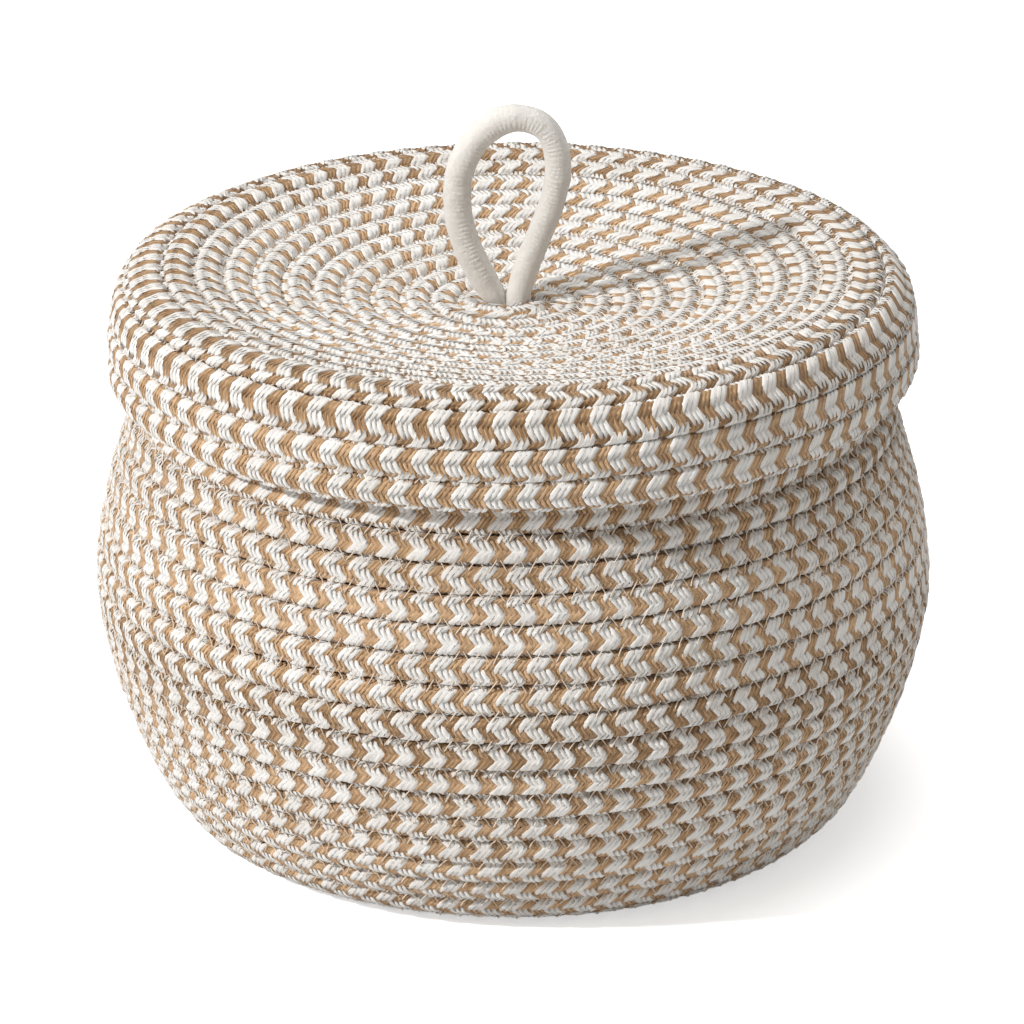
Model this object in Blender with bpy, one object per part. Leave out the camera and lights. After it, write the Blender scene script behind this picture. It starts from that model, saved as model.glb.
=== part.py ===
"""A round knitting basket and its lid, each coiled from braided rope, with a cord loop to lift the lid by.

Written for Blender 4.5, in metres, with +Z up. The origin is on the ground under the middle of the basket.
The rope of the basket winds out from the middle of the floor, rounds the foot and climbs to the rim. The
rope of the lid winds out from the loop's hole, rounds the shoulder and goes down to the hem.
"""

import math

import bpy
from mathutils import Vector
from mathutils.geometry import interpolate_bezier

MM = 0.001

# Rope, the same in the basket and the lid. Its flats face in and out, its corners face the next rows.
ROPE_DIAMETER = 8.2 * MM
FLATTENED_SHARE = 0.1  # of the diameter, pressed flat on the outer and on the inner side
BASKET_ROW_PITCH = 9.0 * MM
LID_ROW_PITCH = 9.4 * MM
POINTS_PER_LOOP = 16
BASKET_ROPE_END_DEGREES = -22.5  # under the lid, front right
LID_ROPE_END_DEGREES = 90.0  # at the back

# Basket, measured to the middle of the rope.
FLOOR_RADIUS = 96.4 * MM
BELLY_RADIUS = 127.8 * MM
BELLY_HEIGHT = 74.5 * MM
NECK_RADIUS = 115.7 * MM
NECK_HEIGHT = 133.0 * MM
RIM_INSET = 8.3 * MM  # from the neck to the rim, inwards
RIM_RISE = 33.6 * MM  # from the neck to the end of the rope at the rim
NECK_LEAN_DEGREES = -17.7
RIM_LEAN_DEGREES = -1.0
FLOOR_START_RADIUS = 4.5 * MM
COIL_JOIN_GAP = 0.3 * MM

# Lid, measured to the middle of the rope.
LID_HOLE_RADIUS = 6.1 * MM
LID_DISH_DEPTH = 13.6 * MM
SHOULDER_OVERHANG = 2.4 * MM  # past the rim
HEM_OVERHANG = 6.7 * MM  # past the neck
LID_SIDE_DEPTH = 28.5 * MM
SEAT_CLEARANCE = 0.3 * MM  # between the rim and the lid above it

# Loop of cord, squeezed where its two legs share the hole, with its ends turned out under the lid.
CORD_DIAMETER = 8.8 * MM
LOOP_SIDES_RESOLUTION = 1

# Reach of each curve handle of the two outlines, as a share of the straight line that it spans.
FLAT_REACH_SHARE = 0.33
FLOOR_REACH_SHARE = 0.19
BELLY_LOWER_REACH_SHARE = 0.21
BELLY_UPPER_REACH_SHARE = 0.31
NECK_LOWER_REACH_SHARE = 0.4
NECK_UPPER_REACH_SHARE = 0.27
RIM_REACH_SHARE = 0.32
DISH_REACH_SHARE = 0.55
DISH_EDGE_REACH_SHARE = 0.14
SHOULDER_REACH_SHARE = 0.43
HEM_REACH_SHARE = 0.48
STEPS_PER_CURVE = 120

ROPE_COLOUR = (0.72, 0.60, 0.46, 1.0)
CORD_COLOUR = (0.80, 0.76, 0.70, 1.0)
CLOTH_ROUGHNESS = 0.9

# The loop's route, as (to the right of the middle, over the lid's top face), and its thickness on the way.
LOOP_ROUTE = (
    (-20.0 * MM, -9.45 * MM),
    (-14.0 * MM, -9.45 * MM),
    (-8.5 * MM, -9.25 * MM),
    (-4.6 * MM, -7.9 * MM),
    (-3.0 * MM, -4.6 * MM),
    (-3.0 * MM, -1.2 * MM),
    (-3.9 * MM, 1.5 * MM),
    (-5.8 * MM, 4.2 * MM),
    (-8.8 * MM, 8.8 * MM),
    (-11.9 * MM, 14.5 * MM),
    (-14.6 * MM, 20.5 * MM),
    (-16.6 * MM, 27.5 * MM),
    (-17.4 * MM, 35.0 * MM),
    (-16.7 * MM, 43.0 * MM),
    (-14.2 * MM, 50.2 * MM),
    (-10.1 * MM, 56.0 * MM),
    (-4.4 * MM, 60.2 * MM),
    (1.9 * MM, 61.7 * MM),
    (7.9 * MM, 60.0 * MM),
    (12.2 * MM, 55.0 * MM),
    (13.9 * MM, 48.0 * MM),
    (13.6 * MM, 40.8 * MM),
    (11.9 * MM, 33.5 * MM),
    (9.4 * MM, 26.5 * MM),
    (6.9 * MM, 19.7 * MM),
    (4.9 * MM, 13.2 * MM),
    (3.9 * MM, 7.2 * MM),
    (3.3 * MM, 2.4 * MM),
    (3.0 * MM, -1.2 * MM),
    (3.0 * MM, -4.6 * MM),
    (4.6 * MM, -7.9 * MM),
    (8.5 * MM, -9.25 * MM),
    (14.0 * MM, -9.45 * MM),
    (20.0 * MM, -9.45 * MM),
)
LOOP_THICKNESS_SHARES = (
    0.7, 0.7, 0.7, 0.64, 0.6, 0.6, 0.68, 0.86, 1.0, 1.0, 1.0, 1.0,
    1.0, 1.0, 1.0, 1.0, 1.0, 0.97, 0.94, 0.92, 0.92, 0.92, 0.92, 0.92,
    0.92, 0.9, 0.8, 0.66, 0.6, 0.6, 0.64, 0.7, 0.7, 0.7,
)

# Derived sizes.
ROPE_RADIUS = ROPE_DIAMETER / 2
ROPE_RISE = ROPE_RADIUS - FLATTENED_SHARE * ROPE_DIAMETER
LID_START_RADIUS = LID_HOLE_RADIUS + ROPE_RADIUS
RIM_RADIUS = NECK_RADIUS - RIM_INSET
RIM_HEIGHT = NECK_HEIGHT + RIM_RISE
SHOULDER_RADIUS = RIM_RADIUS + SHOULDER_OVERHANG
SHOULDER_HEIGHT = RIM_HEIGHT + ROPE_RADIUS + SEAT_CLEARANCE + ROPE_RISE
HEM_RADIUS = NECK_RADIUS + HEM_OVERHANG
HEM_HEIGHT = SHOULDER_HEIGHT - LID_SIDE_DEPTH
LID_MIDDLE_HEIGHT = SHOULDER_HEIGHT - LID_DISH_DEPTH
# A chord lies inside its circle, so the corners stand as far outside of it as the chords' middles lie inside.
CHORD_GROWTH = 2 / (1 + math.cos(math.pi / POINTS_PER_LOOP))


def clear_scene():
    for item in list(bpy.data.objects):
        bpy.data.objects.remove(item, do_unlink=True)


def material(name, colour, roughness):
    made = bpy.data.materials.new(name)
    made.use_nodes = True
    shader = made.node_tree.nodes["Principled BSDF"]
    shader.inputs["Base Color"].default_value = colour
    shader.inputs["Roughness"].default_value = roughness
    shader.inputs["Metallic"].default_value = 0.0
    return made


def heading(degrees):
    """Direction in an outline, as (outwards, up), that leans out from straight up by these degrees."""
    lean = math.radians(degrees)
    return Vector((math.sin(lean), math.cos(lean)))


def outline(stations):
    """Joins (radius, height, lean, reach share before, reach share after) by curves, as a fine row of points."""
    points = []
    for here, there in zip(stations, stations[1:]):
        start = Vector(here[:2])
        end = Vector(there[:2])
        span = (end - start).length
        leave = start + heading(here[2]) * span * here[4]
        arrive = end - heading(there[2]) * span * there[3]
        points += interpolate_bezier(start, leave, arrive, end, STEPS_PER_CURVE)[:-1]
    return points + [end]


def basket_outline():
    """From the middle of the floor to the rim."""
    return outline([
        (0.0, ROPE_RISE, 90.0, 0, FLAT_REACH_SHARE),
        (FLOOR_RADIUS, ROPE_RISE, 90.0, FLAT_REACH_SHARE, FLOOR_REACH_SHARE),
        (BELLY_RADIUS, BELLY_HEIGHT, 0.0, BELLY_LOWER_REACH_SHARE, BELLY_UPPER_REACH_SHARE),
        (NECK_RADIUS, NECK_HEIGHT, NECK_LEAN_DEGREES, NECK_LOWER_REACH_SHARE, NECK_UPPER_REACH_SHARE),
        (RIM_RADIUS, RIM_HEIGHT, RIM_LEAN_DEGREES, RIM_REACH_SHARE, 0),
    ])


def lid_outline():
    """From the middle of the dished top over the shoulder and down to the hem."""
    return outline([
        (0.0, LID_MIDDLE_HEIGHT, 90.0, 0, DISH_REACH_SHARE),
        (SHOULDER_RADIUS, SHOULDER_HEIGHT, 90.0, DISH_EDGE_REACH_SHARE, SHOULDER_REACH_SHARE),
        (HEM_RADIUS, HEM_HEIGHT, 180.0, HEM_REACH_SHARE, 0),
    ])


def walk(points):
    """Length along the outline at each of its points."""
    lengths = [0.0]
    for here, there in zip(points, points[1:]):
        lengths.append(lengths[-1] + (there - here).length)
    return lengths


def place_at(points, lengths, wanted):
    """(radius, height, lean) of the outline at a length along it."""
    index = 1
    while index < len(points) - 1 and lengths[index] < wanted:
        index += 1
    before, after = points[index - 1], points[index]
    part = (wanted - lengths[index - 1]) / (lengths[index] - lengths[index - 1])
    place = before.lerp(after, part)
    along = after - before
    return place.x, place.y, math.atan2(along.x, along.y)


def lean_on_ground(height, lean):
    """Limits how far a foot row leans up, so that the lower corner of its section stays on the ground."""
    if height >= ROPE_RADIUS:
        return lean
    corner = math.acos(ROPE_RISE / ROPE_RADIUS)
    return max(lean, math.pi / 2 - corner + math.acos(height / ROPE_RADIUS))


def coil_route(points, start, pitch, turning, end_degrees):
    """Winds a rope along an outline from a length near its middle to its end, one row a turn.

    turning is 1 for counterclockwise seen from above and -1 for clockwise. Each place is a point in space
    and the lean of the row there. The places lie on the same azimuths in every row.
    """
    lengths = walk(points)
    turns = (lengths[-1] - start) / pitch
    route = []
    for step in range(math.floor(turns * POINTS_PER_LOOP), -1, -1):
        turn = turns - step / POINTS_PER_LOOP
        radius, height, lean = place_at(points, lengths, start + turn * pitch)
        reach = radius * CHORD_GROWTH
        azimuth = math.radians(end_degrees) - turning * math.tau * step / POINTS_PER_LOOP
        place = Vector((reach * math.cos(azimuth), reach * math.sin(azimuth), height))
        route.append((place, lean_on_ground(height, lean)))
    return route


def least_gap(route):
    """Least gap from the rope to its own next rows, on points set along the straight runs between its places."""
    marks = []
    walked = 0.0
    for (here, _), (there, _) in zip(route, route[1:]):
        run = (there - here).length
        marks += [(walked + run * part / 6, here.lerp(there, part / 6)) for part in range(6)]
        walked += run
    least = math.inf
    for number, (length, mark) in enumerate(marks):
        for other_length, other in marks[number + 1 :]:
            if other_length - length > 2 * ROPE_DIAMETER:
                least = min(least, (mark - other).length)
            if other_length - length > 2 * math.tau * BELLY_RADIUS:
                break
    return least - ROPE_DIAMETER


def rope_section():
    """The rope's cross-section: six corners, with its flats to the sides."""
    data = bpy.data.curves.new("rope_section", "CURVE")
    data.dimensions = "2D"
    flat_corner = math.sqrt(ROPE_RADIUS**2 - ROPE_RISE**2)
    corners = (
        (0, ROPE_RADIUS),
        (ROPE_RISE, flat_corner),
        (ROPE_RISE, -flat_corner),
        (0, -ROPE_RADIUS),
        (-ROPE_RISE, -flat_corner),
        (-ROPE_RISE, flat_corner),
    )
    spline = data.splines.new("POLY")
    spline.points.add(len(corners) - 1)
    for point, (across, along) in zip(spline.points, corners):
        point.co = (across, along, 0, 1)
    spline.use_cyclic_u = True
    section = bpy.data.objects.new("rope_section", data)
    section.hide_render = True
    section.display_type = "WIRE"
    bpy.context.scene.collection.objects.link(section)
    return section


def rope(name, route, section, turning, finish, parent):
    """One unbroken rope along the route, its section tilted with the lean of each row."""
    data = bpy.data.curves.new(name, "CURVE")
    data.dimensions = "3D"
    data.twist_mode = "Z_UP"
    data.bevel_mode = "OBJECT"
    data.bevel_object = section
    data.use_fill_caps = True
    spline = data.splines.new("POLY")
    spline.points.add(len(route) - 1)
    for point, (place, lean) in zip(spline.points, route):
        point.co = (*place, 1)
        point.tilt = -turning * lean
    data.materials.append(finish)
    made = bpy.data.objects.new(name, data)
    made.parent = parent
    bpy.context.scene.collection.objects.link(made)
    return made


def cut_route(route, radius):
    """Parts a route in the first straight run past a radius, with the gap that two touching solids keep."""
    index = next(i for i, (place, _) in enumerate(route) if place.xy.length > radius)
    (here, lean), (there, next_lean) = route[index], route[index + 1]
    along = (there - here).normalized() * COIL_JOIN_GAP / 2
    middle = here.lerp(there, 0.5)
    middle_lean = (lean + next_lean) / 2
    inner = route[: index + 1] + [(middle - along, middle_lean)]
    outer = [(middle + along, middle_lean)] + route[index + 1 :]
    return inner, outer


def loop(name, finish, parent):
    """The cord loop: a tube whose thickness follows the squeeze of the hole."""
    data = bpy.data.curves.new(name, "CURVE")
    data.dimensions = "3D"
    data.bevel_depth = CORD_DIAMETER / 2
    data.bevel_resolution = LOOP_SIDES_RESOLUTION
    data.use_fill_caps = True
    face_height = LID_MIDDLE_HEIGHT + ROPE_RISE
    spline = data.splines.new("POLY")
    spline.points.add(len(LOOP_ROUTE) - 1)
    for point, (aside, above), share in zip(spline.points, LOOP_ROUTE, LOOP_THICKNESS_SHARES):
        point.co = (aside, 0, face_height + above, 1)
        point.radius = share
    data.materials.append(finish)
    made = bpy.data.objects.new(name, data)
    made.parent = parent
    bpy.context.scene.collection.objects.link(made)
    return made


def empty(name):
    made = bpy.data.objects.new(name, None)
    bpy.context.scene.collection.objects.link(made)
    return made


def main():
    clear_scene()
    braid = material("braided_rope", ROPE_COLOUR, CLOTH_ROUGHNESS)
    cord = material("loop_cord", CORD_COLOUR, CLOTH_ROUGHNESS)
    basket = empty("basket")
    lid = empty("lid")
    section = rope_section()

    basket_route = coil_route(
        basket_outline(), FLOOR_START_RADIUS, BASKET_ROW_PITCH, 1, BASKET_ROPE_END_DEGREES
    )
    floor_route, wall_route = cut_route(basket_route, FLOOR_RADIUS)
    rope("basket_floor_coil", floor_route, section, 1, braid, basket)
    rope("basket_wall_coil", wall_route, section, 1, braid, basket)

    lid_route = coil_route(lid_outline(), LID_START_RADIUS, LID_ROW_PITCH, -1, LID_ROPE_END_DEGREES)
    rope("lid_coil", lid_route, section, -1, braid, lid)
    loop("lid_loop", cord, lid)

    for label, route in (("basket", basket_route), ("lid", lid_route)):
        print(f"{label} rope, least gap to itself: {least_gap(route) / MM:.2f} mm")


main()
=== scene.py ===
"""Knitting basket: coiled braided rope, the zigzag thread that sews its rows, and the cord loop on the lid.

Both coils follow the same outlines as the CAD part. Each rope is a tube of faces whose columns run slanted,
up one way and down the other, as the yarns of a flat braid do, so every yarn on it is real geometry.
"""

import math

import bpy
import numpy as np
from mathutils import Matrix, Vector

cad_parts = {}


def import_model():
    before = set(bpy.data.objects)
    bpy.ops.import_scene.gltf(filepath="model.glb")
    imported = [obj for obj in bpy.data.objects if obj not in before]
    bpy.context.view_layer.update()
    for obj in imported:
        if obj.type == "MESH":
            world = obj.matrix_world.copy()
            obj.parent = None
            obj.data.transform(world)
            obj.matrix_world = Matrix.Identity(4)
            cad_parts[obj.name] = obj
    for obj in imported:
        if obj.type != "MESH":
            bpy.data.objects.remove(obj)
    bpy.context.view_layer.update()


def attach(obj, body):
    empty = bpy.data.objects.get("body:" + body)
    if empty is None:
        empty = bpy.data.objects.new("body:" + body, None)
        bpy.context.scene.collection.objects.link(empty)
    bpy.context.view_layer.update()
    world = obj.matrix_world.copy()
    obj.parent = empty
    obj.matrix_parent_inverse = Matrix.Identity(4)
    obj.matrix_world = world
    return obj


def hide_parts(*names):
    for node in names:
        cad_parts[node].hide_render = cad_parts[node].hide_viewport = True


MM = 0.001

# Directions.
FRONT_DEGREES = -90.0  # the azimuth of the side that the photograph shows
UPWARDS_DEGREES = 0.0  # leans of an outline
OUTWARDS_DEGREES = 90.0
DOWNWARDS_DEGREES = 180.0

# Rows of rope, as in the CAD part.
ROPE_DIAMETER = 8.2 * MM
FLATTENED_SHARE = 0.1
BASKET_ROW_PITCH = 9.0 * MM
LID_ROW_PITCH = 9.4 * MM
BASKET_ROPE_END_DEGREES = -22.5
LID_ROPE_END_DEGREES = 90.0
FLOOR_RADIUS = 96.4 * MM
BELLY_RADIUS = 127.8 * MM
BELLY_HEIGHT = 74.5 * MM
NECK_RADIUS = 115.7 * MM
NECK_HEIGHT = 133.0 * MM
RIM_INSET = 8.3 * MM
RIM_RISE = 33.6 * MM
NECK_LEAN_DEGREES = -17.7
RIM_LEAN_DEGREES = -1.0
FLOOR_START_RADIUS = 4.5 * MM
LID_HOLE_RADIUS = 6.1 * MM
LID_DISH_DEPTH = 13.6 * MM
SHOULDER_OVERHANG = 2.4 * MM
HEM_OVERHANG = 6.7 * MM
LID_SIDE_DEPTH = 28.5 * MM
SEAT_CLEARANCE = 0.3 * MM
FLAT_REACH_SHARE = 0.33
FLOOR_REACH_SHARE = 0.19
BELLY_LOWER_REACH_SHARE = 0.21
BELLY_UPPER_REACH_SHARE = 0.31
NECK_LOWER_REACH_SHARE = 0.4
NECK_UPPER_REACH_SHARE = 0.27
RIM_REACH_SHARE = 0.32
DISH_REACH_SHARE = 0.55
DISH_EDGE_REACH_SHARE = 0.14
SHOULDER_REACH_SHARE = 0.43
HEM_REACH_SHARE = 0.48
STEPS_PER_CURVE = 120
STEPS_PER_TURN = 240

# The braid: zones along the rope, whose yarns lean one way and the other by turns. In a long zone a yarn
# passes over five others at a time, and in a short one over three.
HALF_THICKNESS = 4.3 * MM
TAN_GAP = 0.35 * MM  # between the tan yarns of neighbouring rows, where the white ones meet
LID_ROW_PRESS = 0.35 * MM  # how far the lid's rows are pressed into each other
SECTION_SQUARENESS = 3.9  # 2 is an ellipse, and more is squarer
SECTION_POINTS = 2881
ZONE_PAIRS = 4
LONG_CROSSINGS = 5
SHORT_CROSSINGS = 3
YARN_SPACING = 1.558 * MM  # along the rope
COLUMNS_PER_YARN = 4
GROOVE_PHASE = 0  # of those columns, the one at the bottom of the groove
CROWN_PHASE = 2
STEPS_PER_ZONE = 3
SPARE_YARNS = 4  # past the end of a rope
PIECE_COLUMNS = 3900  # the most columns in one piece of the rope

# Which yarns are tan (1) and which are white (0), in long zones and in short ones.
TAN_YARNS = ((0, 0, 0, 1, 1, 1), (0, 0, 0, 1, 1, 1))
TOP_TAN_YARNS = ((0, 0, 0, 1, 1, 1), (0, 0, 0, 0, 1, 0))  # on the lid's dished top
PAIR_TAN_SHIFTS = (0, 2, 3, 5)  # how many yarns the pattern is moved on, in each pair of zones

# The relief of the yarns.
TAN_WIDTH_SHARE = 0.9  # of a white yarn's width
WHITE_RISE = 0.32 * MM  # how much higher white yarns stand
SEAM_SWELL_SHARE = 1.4  # how much more the relief counts towards the neighbouring rows
YARN_CROWN = 0.04 * MM
YARN_EDGE_DEPTH = 0.1 * MM
GROOVE_DEPTH = 0.4 * MM
WHITE_GROOVE_DEPTH = 0.15 * MM  # between two white yarns
GROOVE_WIDTH_SHARE = 0.14
YARN_END_DEPTH = 0.12 * MM
YARN_CORNER_DEPTH = 0.34 * MM
YARN_HEIGHT_DRIFT = 0.12 * MM
GROOVE_DRIFT_SHARE = 0.13
YARN_END_DRIFT = 0.28 * MM

# How the ends of yarns reach in between each other where two zones meet, column by column.
LONG_END_STEPS = (-1, -1, 1, 1)
SHORT_END_STEPS = (-1, 1, 1, -1)
FINGER_REACH_SHARE = 1.9  # of half a crossing
FINGER_FOLLOW_SHARE = 0.35  # of that, inside a zone

# How a rope wanders from its line, and how its two ends thin out and tuck in.
ROPE_DRIFT = 0.22 * MM
ROPE_DRIFT_STEP = 38.0 * MM
TAPER_LENGTH = 13.0 * MM
TAPERED_SHARE = 0.35
TUCK_DEPTH = 2.6 * MM

# How far the braid is turned round the rope, where each row of the basket passes the front, foot row first.
FRONT_ROW_ZONE_SHARES = (
    0.6, 0.6, 0.57, 0.68, 0.79, 0.8, 0.98, 1.04, 1.07, 1.36, 1.42, 1.36, 1.17, 1.18, 1.39, 1.11, 1.03,
)
ROWS_UNDER_LID = 3
VISIBLE_ROW_HEIGHT = 9.8 * MM
BRAID_DRIFT = 0.9 * MM
BRAID_DRIFT_STEP = 150.0 * MM

# The sewing thread: a zigzag over each seam between rows.
THREAD_DIAMETER = 0.5 * MM
THREAD_SIDES = 3
STITCH_STEP = 3.0 * MM
STITCH_REACH = 2.5 * MM
STITCH_UNEVEN = 0.5 * MM
STITCH_POINT_SHARES = (0, 0.2, 0.5, 0.8)  # of a leg, counted from its turn
STITCH_SUNK = 0.45 * MM
STITCH_LIFT = 0.22 * MM
STITCH_LIFT_DRIFT = 0.12 * MM
STITCH_BACK_SUNK = 0.35 * MM  # how much deeper every other leg lies
STITCH_SAG = 0.4 * MM
STITCH_SPAN_SHARE = 0.6  # of its reach, over which a leg spans the groove of the seam
STITCH_GROUND_CLEARANCE = 1.5 * MM
STEEPEST_DRAWN = 0.25  # how far down, at least, the thread's side is taken to face there
LID_STITCH_REACH = 1.9 * MM
LID_STITCH_LOWERED = 0.4 * MM
ROW_FALL = 2.0  # how fast the rows beside a seam fall away where the outline bends
ROW_FALL_START_SHARE = 0.5  # of a stitch's reach

# How the lid's first rows close round the loop's two legs, which fill an upright oval.
LID_EARLY_TURNS = 0.5
LEGS_REACH = 12.0 * MM
LEGS_SQUEEZE_SHARE = 0.42
LEGS_SHIFT = 0.8 * MM
LEGS_LIFT = 1.1 * MM
LEGS_HALF_WIDTH = 5.6 * MM
LEGS_HALF_DEPTH = 3.7 * MM
LEGS_FIRMNESS = 6.0
LEGS_LEAST_SHARE = 0.1  # of the oval, inside which nothing is pressed any further

# The loop's route, as (to the right of the middle, backwards, over the lid's top face).
LOOP_ROUTE = MM * np.array((
    (-20.0, 0.0, -10.3), (-14.0, 0.0, -10.3), (-9.0, 0.0, -10.1), (-5.3, 0.0, -8.3), (-4.1, 0.3, -4.6),
    (-4.0, 0.6, -1.2), (-4.9, 0.8, 1.5), (-6.5, 0.7, 4.2), (-9.2, 0.4, 8.8), (-11.9, 0.0, 14.5),
    (-14.6, 0.0, 20.5), (-16.6, 0.0, 27.5), (-17.4, 0.0, 35.0), (-16.7, 0.0, 43.0), (-14.2, 0.0, 50.2),
    (-10.1, 0.0, 56.0), (-4.4, 0.0, 60.2), (1.9, 0.0, 61.7), (7.9, 0.0, 60.0), (12.2, 0.0, 55.0),
    (13.9, 0.0, 48.0), (13.6, 0.0, 40.8), (11.9, 0.0, 33.5), (9.4, 0.0, 26.5), (6.7, -0.1, 19.7),
    (4.3, -0.2, 13.2), (2.5, -0.3, 7.2), (1.5, -0.4, 2.4), (1.3, -0.4, -1.2), (1.6, -0.2, -4.6),
    (3.8, 0.0, -8.3), (8.0, 0.0, -10.1), (14.0, 0.0, -10.3), (20.0, 0.0, -10.3),
))
CORD_DIAMETER = 8.8 * MM
LOOP_THICKNESS_SHARES = (
    0.7, 0.7, 0.7, 0.64, 0.6, 0.62, 0.72, 0.86, 1.0, 1.0, 1.0, 1.0,
    1.0, 1.0, 1.0, 1.0, 1.0, 0.97, 0.94, 0.92, 0.92, 0.92, 0.92, 0.92,
    0.92, 0.92, 0.88, 0.82, 0.76, 0.68, 0.64, 0.7, 0.7, 0.7,
)
LOOP_ROUTE_POINTS = 4001
LOOP_STEP = 0.18 * MM
LOOP_SIDES = 40

# The cord's cross ribs, which stand highest in a band along its front and its back, and its lumps.
RIB_SPACING = 1.45 * MM
RIB_HEIGHT = 0.07 * MM
RIB_LOWEST_SHARE = 0.15  # away from the band
RIB_BAND_DEGREES = 103.0
RIB_BAND_REACH_DEGREES = 22.0
RIB_SLANT = 0.9
RIB_DRIFT = 0.45 * MM
RIB_DRIFT_STEP = 3.5 * MM
RIBS_FROM = 3.0 * MM  # over the lid's face
RIBS_GROW = 12.0 * MM
LUMP_SIZE = 0.13 * MM
LUMP_STEP = 4.0 * MM

# Seeds of all that is uneven, so that every run gives the same.
BASKET_TURN_SEED = 11
LID_TURN_SEED = 12
BASKET_ROPE_SEED = 21
LID_ROPE_SEED = 22
BASKET_THREAD_SEEDS = (31, 32)
LID_THREAD_SEEDS = (33, 34)
LOOP_SEED = 41

# The UV map for baking: each tube is cut across into strips that lie side by side.
BAKE_END_MARGIN = 0.004
BAKE_SIDE_MARGIN = 0.03
ROPE_STRIPS = 9
THREAD_STRIPS = 60
LOOP_STRIPS = 4

# Colours of yarn, thread and cord, as (one end of their range, the other end).
WHITE_YARN_COLOURS = ((0.81, 0.785, 0.755, 1), (0.71, 0.69, 0.66, 1))
TAN_YARN_COLOURS = ((0.6, 0.4, 0.235, 1), (0.43, 0.27, 0.15, 1))
THREAD_COLOURS = ((0.72, 0.6, 0.48, 1), (0.84, 0.74, 0.63, 1))
CORD_COLOURS = ((0.87, 0.845, 0.805, 1), (0.8, 0.77, 0.72, 1))
# Painted shade in the hollows of the cord's weave, where its bumps lie lowest.
CORD_WEAVE_SHADE_COLOUR = (0.58, 0.53, 0.47, 1)

# How much of its colour a yarn keeps in streaks, in the painted shade of its gaps and in patches. The first
# three are for white yarn and for tan, and the fourth is for dark patches and for light ones.
DARK_STREAK_SHARES = (0.92, 0.7)
LIGHT_STREAK_SHARES = (1.06, 1.27)
PAINTED_GAP_SHADE_SHARES = (0.93, 0.5)
PATCH_SHARES = (0.95, 1.04)
# Green and blue fade faster than red as a yarn darkens: painted warm bounce light in its darks.
GREEN_FADE_POWER = 1.15  # how much faster than red it fades
BLUE_FADE_POWER = 1.4
# Where the painted shade of the gaps begins and where it is full:
BESIDE_GAP_SHADE_RANGE = (0.24, 0.48)  # from the middle of a yarn, as shares of the spacing
END_GAP_SHADE_RANGE = (0.43, 0.5)  # from the middle of a zone, as shares of its length

# The noise in the yarn, the thread and the cord, and how its bumps stand out.
WHOLE_RANGE = (0.0, 1.0)
NOISE_RANGE = (0.3, 0.7)
STREAK_RANGE = (0.32, 0.68)
STREAK_STRETCHES = (5.0, 1.1, 40.0)  # across a yarn, along it, and from one yarn to the next
STREAK_SCALE = 1.6
ROPE_PATCH_SCALE = 45.0
ROPE_FUZZ_SCALE = 1500.0
ROPE_BUMP_SHARES = (0.7, 0.3)  # of streaks and fuzz
ROPE_BUMP_HEIGHT = 0.25 * MM
THREAD_NOISE_SCALE = 900.0
WEAVE_STRETCHES = (4.0, 30.0)  # along the cord, and round it
WEAVE_SCALE = 3.0
WEAVE_RANGE = (0.3, 0.75)
# How strong the painted shade in the weave's hollows is, at the two ends of that range.
WEAVE_SHADE_RANGE = (0.25, 0.0)
CORD_PATCH_SCALE = 120.0
CORD_FUZZ_SCALE = 1300.0
CORD_TUFT_SCALE = 420.0
CORD_BUMP_SHARES = (0.3, 0.4, 0.6)  # of weave, fuzz and tufts
CORD_BUMP_HEIGHT = 0.9 * MM

# The photograph's viewpoint.
VIEW_ELEVATION_DEGREES = 22.41
VIEW_DISTANCE = 1.8
VIEW_AIM_HEIGHT = 0.0941
LENS = 199.3  # in mm, on a sensor of 36 mm
SENSOR_WIDTH = 36.0
SHIFT_X = -0.001

# The studio: light from the left and a little in front.
LAMPS = (  # name, azimuth and elevation in degrees, distance, size, power in watts
    ("key", 206.0, 32.0, 2.2, 0.1, 36.5),
    ("top", 0.0, 88.0, 2.4, 1.6, 30.0),
)
LAMP_AIM_HEIGHT = 0.1
WORLD_STRENGTH = 0.34
WORLD_COLOUR = (1, 0.975, 0.94, 1)
FLOOR_GLOW = 0.56
FLOOR_COLOUR = (0.86, 0.86, 0.86, 1)
FLOOR_REACH = 6.0
PURE_WHITE = (1, 1, 1, 1)

# Derived sizes.
ROPE_RADIUS = ROPE_DIAMETER / 2
ROPE_RISE = ROPE_RADIUS - FLATTENED_SHARE * ROPE_DIAMETER
LID_START_RADIUS = LID_HOLE_RADIUS + ROPE_RADIUS
RIM_RADIUS = NECK_RADIUS - RIM_INSET
RIM_HEIGHT = NECK_HEIGHT + RIM_RISE
SHOULDER_RADIUS = RIM_RADIUS + SHOULDER_OVERHANG
SHOULDER_HEIGHT = RIM_HEIGHT + ROPE_RADIUS + SEAT_CLEARANCE + ROPE_RISE
HEM_RADIUS = NECK_RADIUS + HEM_OVERHANG
HEM_HEIGHT = SHOULDER_HEIGHT - LID_SIDE_DEPTH
LID_MIDDLE_HEIGHT = SHOULDER_HEIGHT - LID_DISH_DEPTH
LID_FACE_HEIGHT = LID_MIDDLE_HEIGHT + ROPE_RISE
COLUMN_STEP = YARN_SPACING / COLUMNS_PER_YARN
ZONES = 2 * ZONE_PAIRS
RING_STEPS = ZONES * STEPS_PER_ZONE
LONG_SHARE = LONG_CROSSINGS / (LONG_CROSSINGS + SHORT_CROSSINGS)  # of a pair of zones
LONG_SLANT = LONG_CROSSINGS * YARN_SPACING / 2
SHORT_SLANT = SHORT_CROSSINGS * YARN_SPACING / 2
PAIR_COLUMNS = (LONG_CROSSINGS - SHORT_CROSSINGS) * COLUMNS_PER_YARN // 2


def heading(degrees):
    """Direction in an outline, as (outwards, up), that leans out from straight up by these degrees."""
    lean = math.radians(degrees)
    return np.array((math.sin(lean), math.cos(lean)))


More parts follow.
